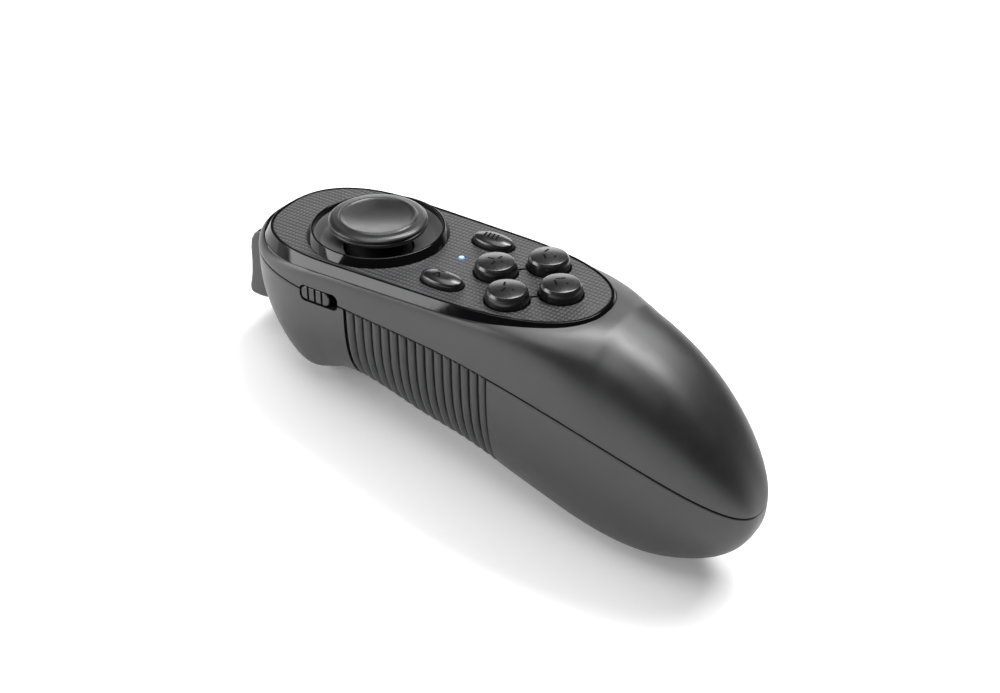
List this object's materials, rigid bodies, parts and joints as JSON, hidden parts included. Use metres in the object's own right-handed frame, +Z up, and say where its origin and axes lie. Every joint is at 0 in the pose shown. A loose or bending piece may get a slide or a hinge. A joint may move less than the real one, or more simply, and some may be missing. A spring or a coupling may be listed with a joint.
{
  "type": "vr motion controller",
  "caption": "Hand-held motion controller with a thumb stick, round and oval keys on a textured deck, a front trigger, a ribbed grip and a battery bay in the tail.",
  "frame": {"origin": "centre of the bounding box on the surface that it rests on", "axes": "+Z up, +Y towards the front trigger, +X to the right of a holder looking along +Y; the controller rests on its chin and belly, so the deck tips 12.7 degrees nose-down"},
  "size_m": [0.0412, 0.1416, 0.0543],
  "materials": {
    "shell_soft": "soft-touch satin",
    "grip_rubber": "matt rubber",
    "plate_grid": "fine square grid",
    "gloss_black": "piano gloss",
    "bowl_grey": "satin",
    "key_satin": "satin",
    "stick_rubber": "soft rubber",
    "steel": "bright",
    "tin": "stamped",
    "board_green": "solder mask",
    "chip_black": "moulded epoxy",
    "flex_amber": "flexible film",
    "silicone": "silicone",
    "light_clear": "frosted",
    "led_white": "epoxy",
    "nylon_white": "natural nylon",
    "pot_blue": "moulded",
    "inner_black": "moulded",
    "cell_wrap": "shrink film"
  },
  "bodies": {
    "shell": {"upper_shell": "shell_soft", "lower_shell": "shell_soft", "grip_saddle": "grip_rubber", "faceplate": "plate_grid", "gloss_bezel": "gloss_black", "stick_collar": "gloss_black", "stick_bowl": "bowl_grey", "stick_housing": "tin", "stick_pot_x": "pot_blue", "stick_pot_y": "pot_blue", "stick_plunger": "nylon_white", "stick_spring": "steel", "light_pipe": "light_clear", "status_led": "led_white", "key_mat": "silicone", "key_board": "board_green", "main_board": "board_green", "radio_module": "tin", "mcu_chip": "chip_black", "board_link": "flex_amber", "mode_switch": "inner_black", "trigger_pin": "steel", "trigger_bracket": "inner_black", "trigger_spring": "steel", "trigger_board": "board_green", "trigger_switch": "chip_black", "battery_tray": "inner_black", "cell_left": "cell_wrap", "cell_right": "cell_wrap", "contact_front_left": "tin", "contact_front_right": "tin", "contact_rear": "tin", "cell_spring_front": "steel", "cell_spring_rear": "steel", "main_screw_left": "steel", "main_screw_right": "steel", "key_screw_front": "steel", "key_screw_rear": "steel"},
    "gimbal_carrier_body": {"gimbal_carrier": "nylon_white"},
    "stick": {"joystick_cap": "stick_rubber", "stick_dome": "stick_rubber", "stick_shaft": "steel"},
    "gimbal_arc_body": {"gimbal_arc": "inner_black"},
    "key_front": {"key_button_front": "key_satin"},
    "key_rear": {"key_button_rear": "key_satin"},
    "key_left": {"key_button_left": "key_satin"},
    "key_right": {"key_button_right": "key_satin"},
    "oval_left": {"oval_button_left": "key_satin"},
    "oval_right": {"oval_button_right": "key_satin"},
    "mode_slide": {"mode_knob": "key_satin"},
    "trigger_body": {"trigger": "key_satin"},
    "cover": {"battery_cover": "shell_soft"}
  },
  "joints": [
    {"name": "stick_fore_aft", "type": "hinge", "parent": "shell", "child": "gimbal_carrier_body", "pos_m": [0, 0.03839, 0.03059], "axis": [1, 0, 0], "range_deg": [-9.5, 9.5], "stiffness_Nm_per_rad": 0.02},
    {"name": "stick_left_right", "type": "hinge", "parent": "gimbal_carrier_body", "child": "stick", "pos_m": [0, 0.03839, 0.03059], "axis": [0, 0.9755, -0.2198], "range_deg": [-9.5, 9.5], "stiffness_Nm_per_rad": 0.02},
    {"name": "arc_swing", "type": "hinge", "parent": "shell", "child": "gimbal_arc_body", "pos_m": [0, 0.03839, 0.03059], "axis": [0, 0.9755, -0.2198], "range_deg": [-9.5, 9.5]},
    {"name": "key_front_press", "type": "slide", "parent": "shell", "child": "key_front", "axis": [0, -0.2198, -0.9755], "range_m": [0, 0.0012], "stiffness_N_per_m": 600},
    {"name": "key_rear_press", "type": "slide", "parent": "shell", "child": "key_rear", "axis": [0, -0.2198, -0.9755], "range_m": [0, 0.0012], "stiffness_N_per_m": 600},
    {"name": "key_left_press", "type": "slide", "parent": "shell", "child": "key_left", "axis": [0, -0.2198, -0.9755], "range_m": [0, 0.0012], "stiffness_N_per_m": 600},
    {"name": "key_right_press", "type": "slide", "parent": "shell", "child": "key_right", "axis": [0, -0.2198, -0.9755], "range_m": [0, 0.0012], "stiffness_N_per_m": 600},
    {"name": "oval_left_press", "type": "slide", "parent": "shell", "child": "oval_left", "axis": [0, -0.2198, -0.9755], "range_m": [0, 0.0012], "stiffness_N_per_m": 600},
    {"name": "oval_right_press", "type": "slide", "parent": "shell", "child": "oval_right", "axis": [0, -0.2198, -0.9755], "range_m": [0, 0.0012], "stiffness_N_per_m": 600},
    {"name": "mode_slide_move", "type": "slide", "parent": "shell", "child": "mode_slide", "axis": [0, -0.9755, 0.2198], "range_m": [0, 0.0022]},
    {"name": "trigger_pull", "type": "hinge", "parent": "shell", "child": "trigger_body", "pos_m": [0, 0.06263, 0.02667], "axis": [-1, 0, 0], "range_deg": [0, 9], "stiffness_Nm_per_rad": 0.1},
    {"name": "cover_slide", "type": "slide", "parent": "shell", "child": "cover", "axis": [0, -0.9438, -0.3305], "range_m": [0, 0.014]}
  ],
  "couplings": [
    {"joint": "arc_swing", "follows": "stick_left_right", "ratio": 1}
  ]
}
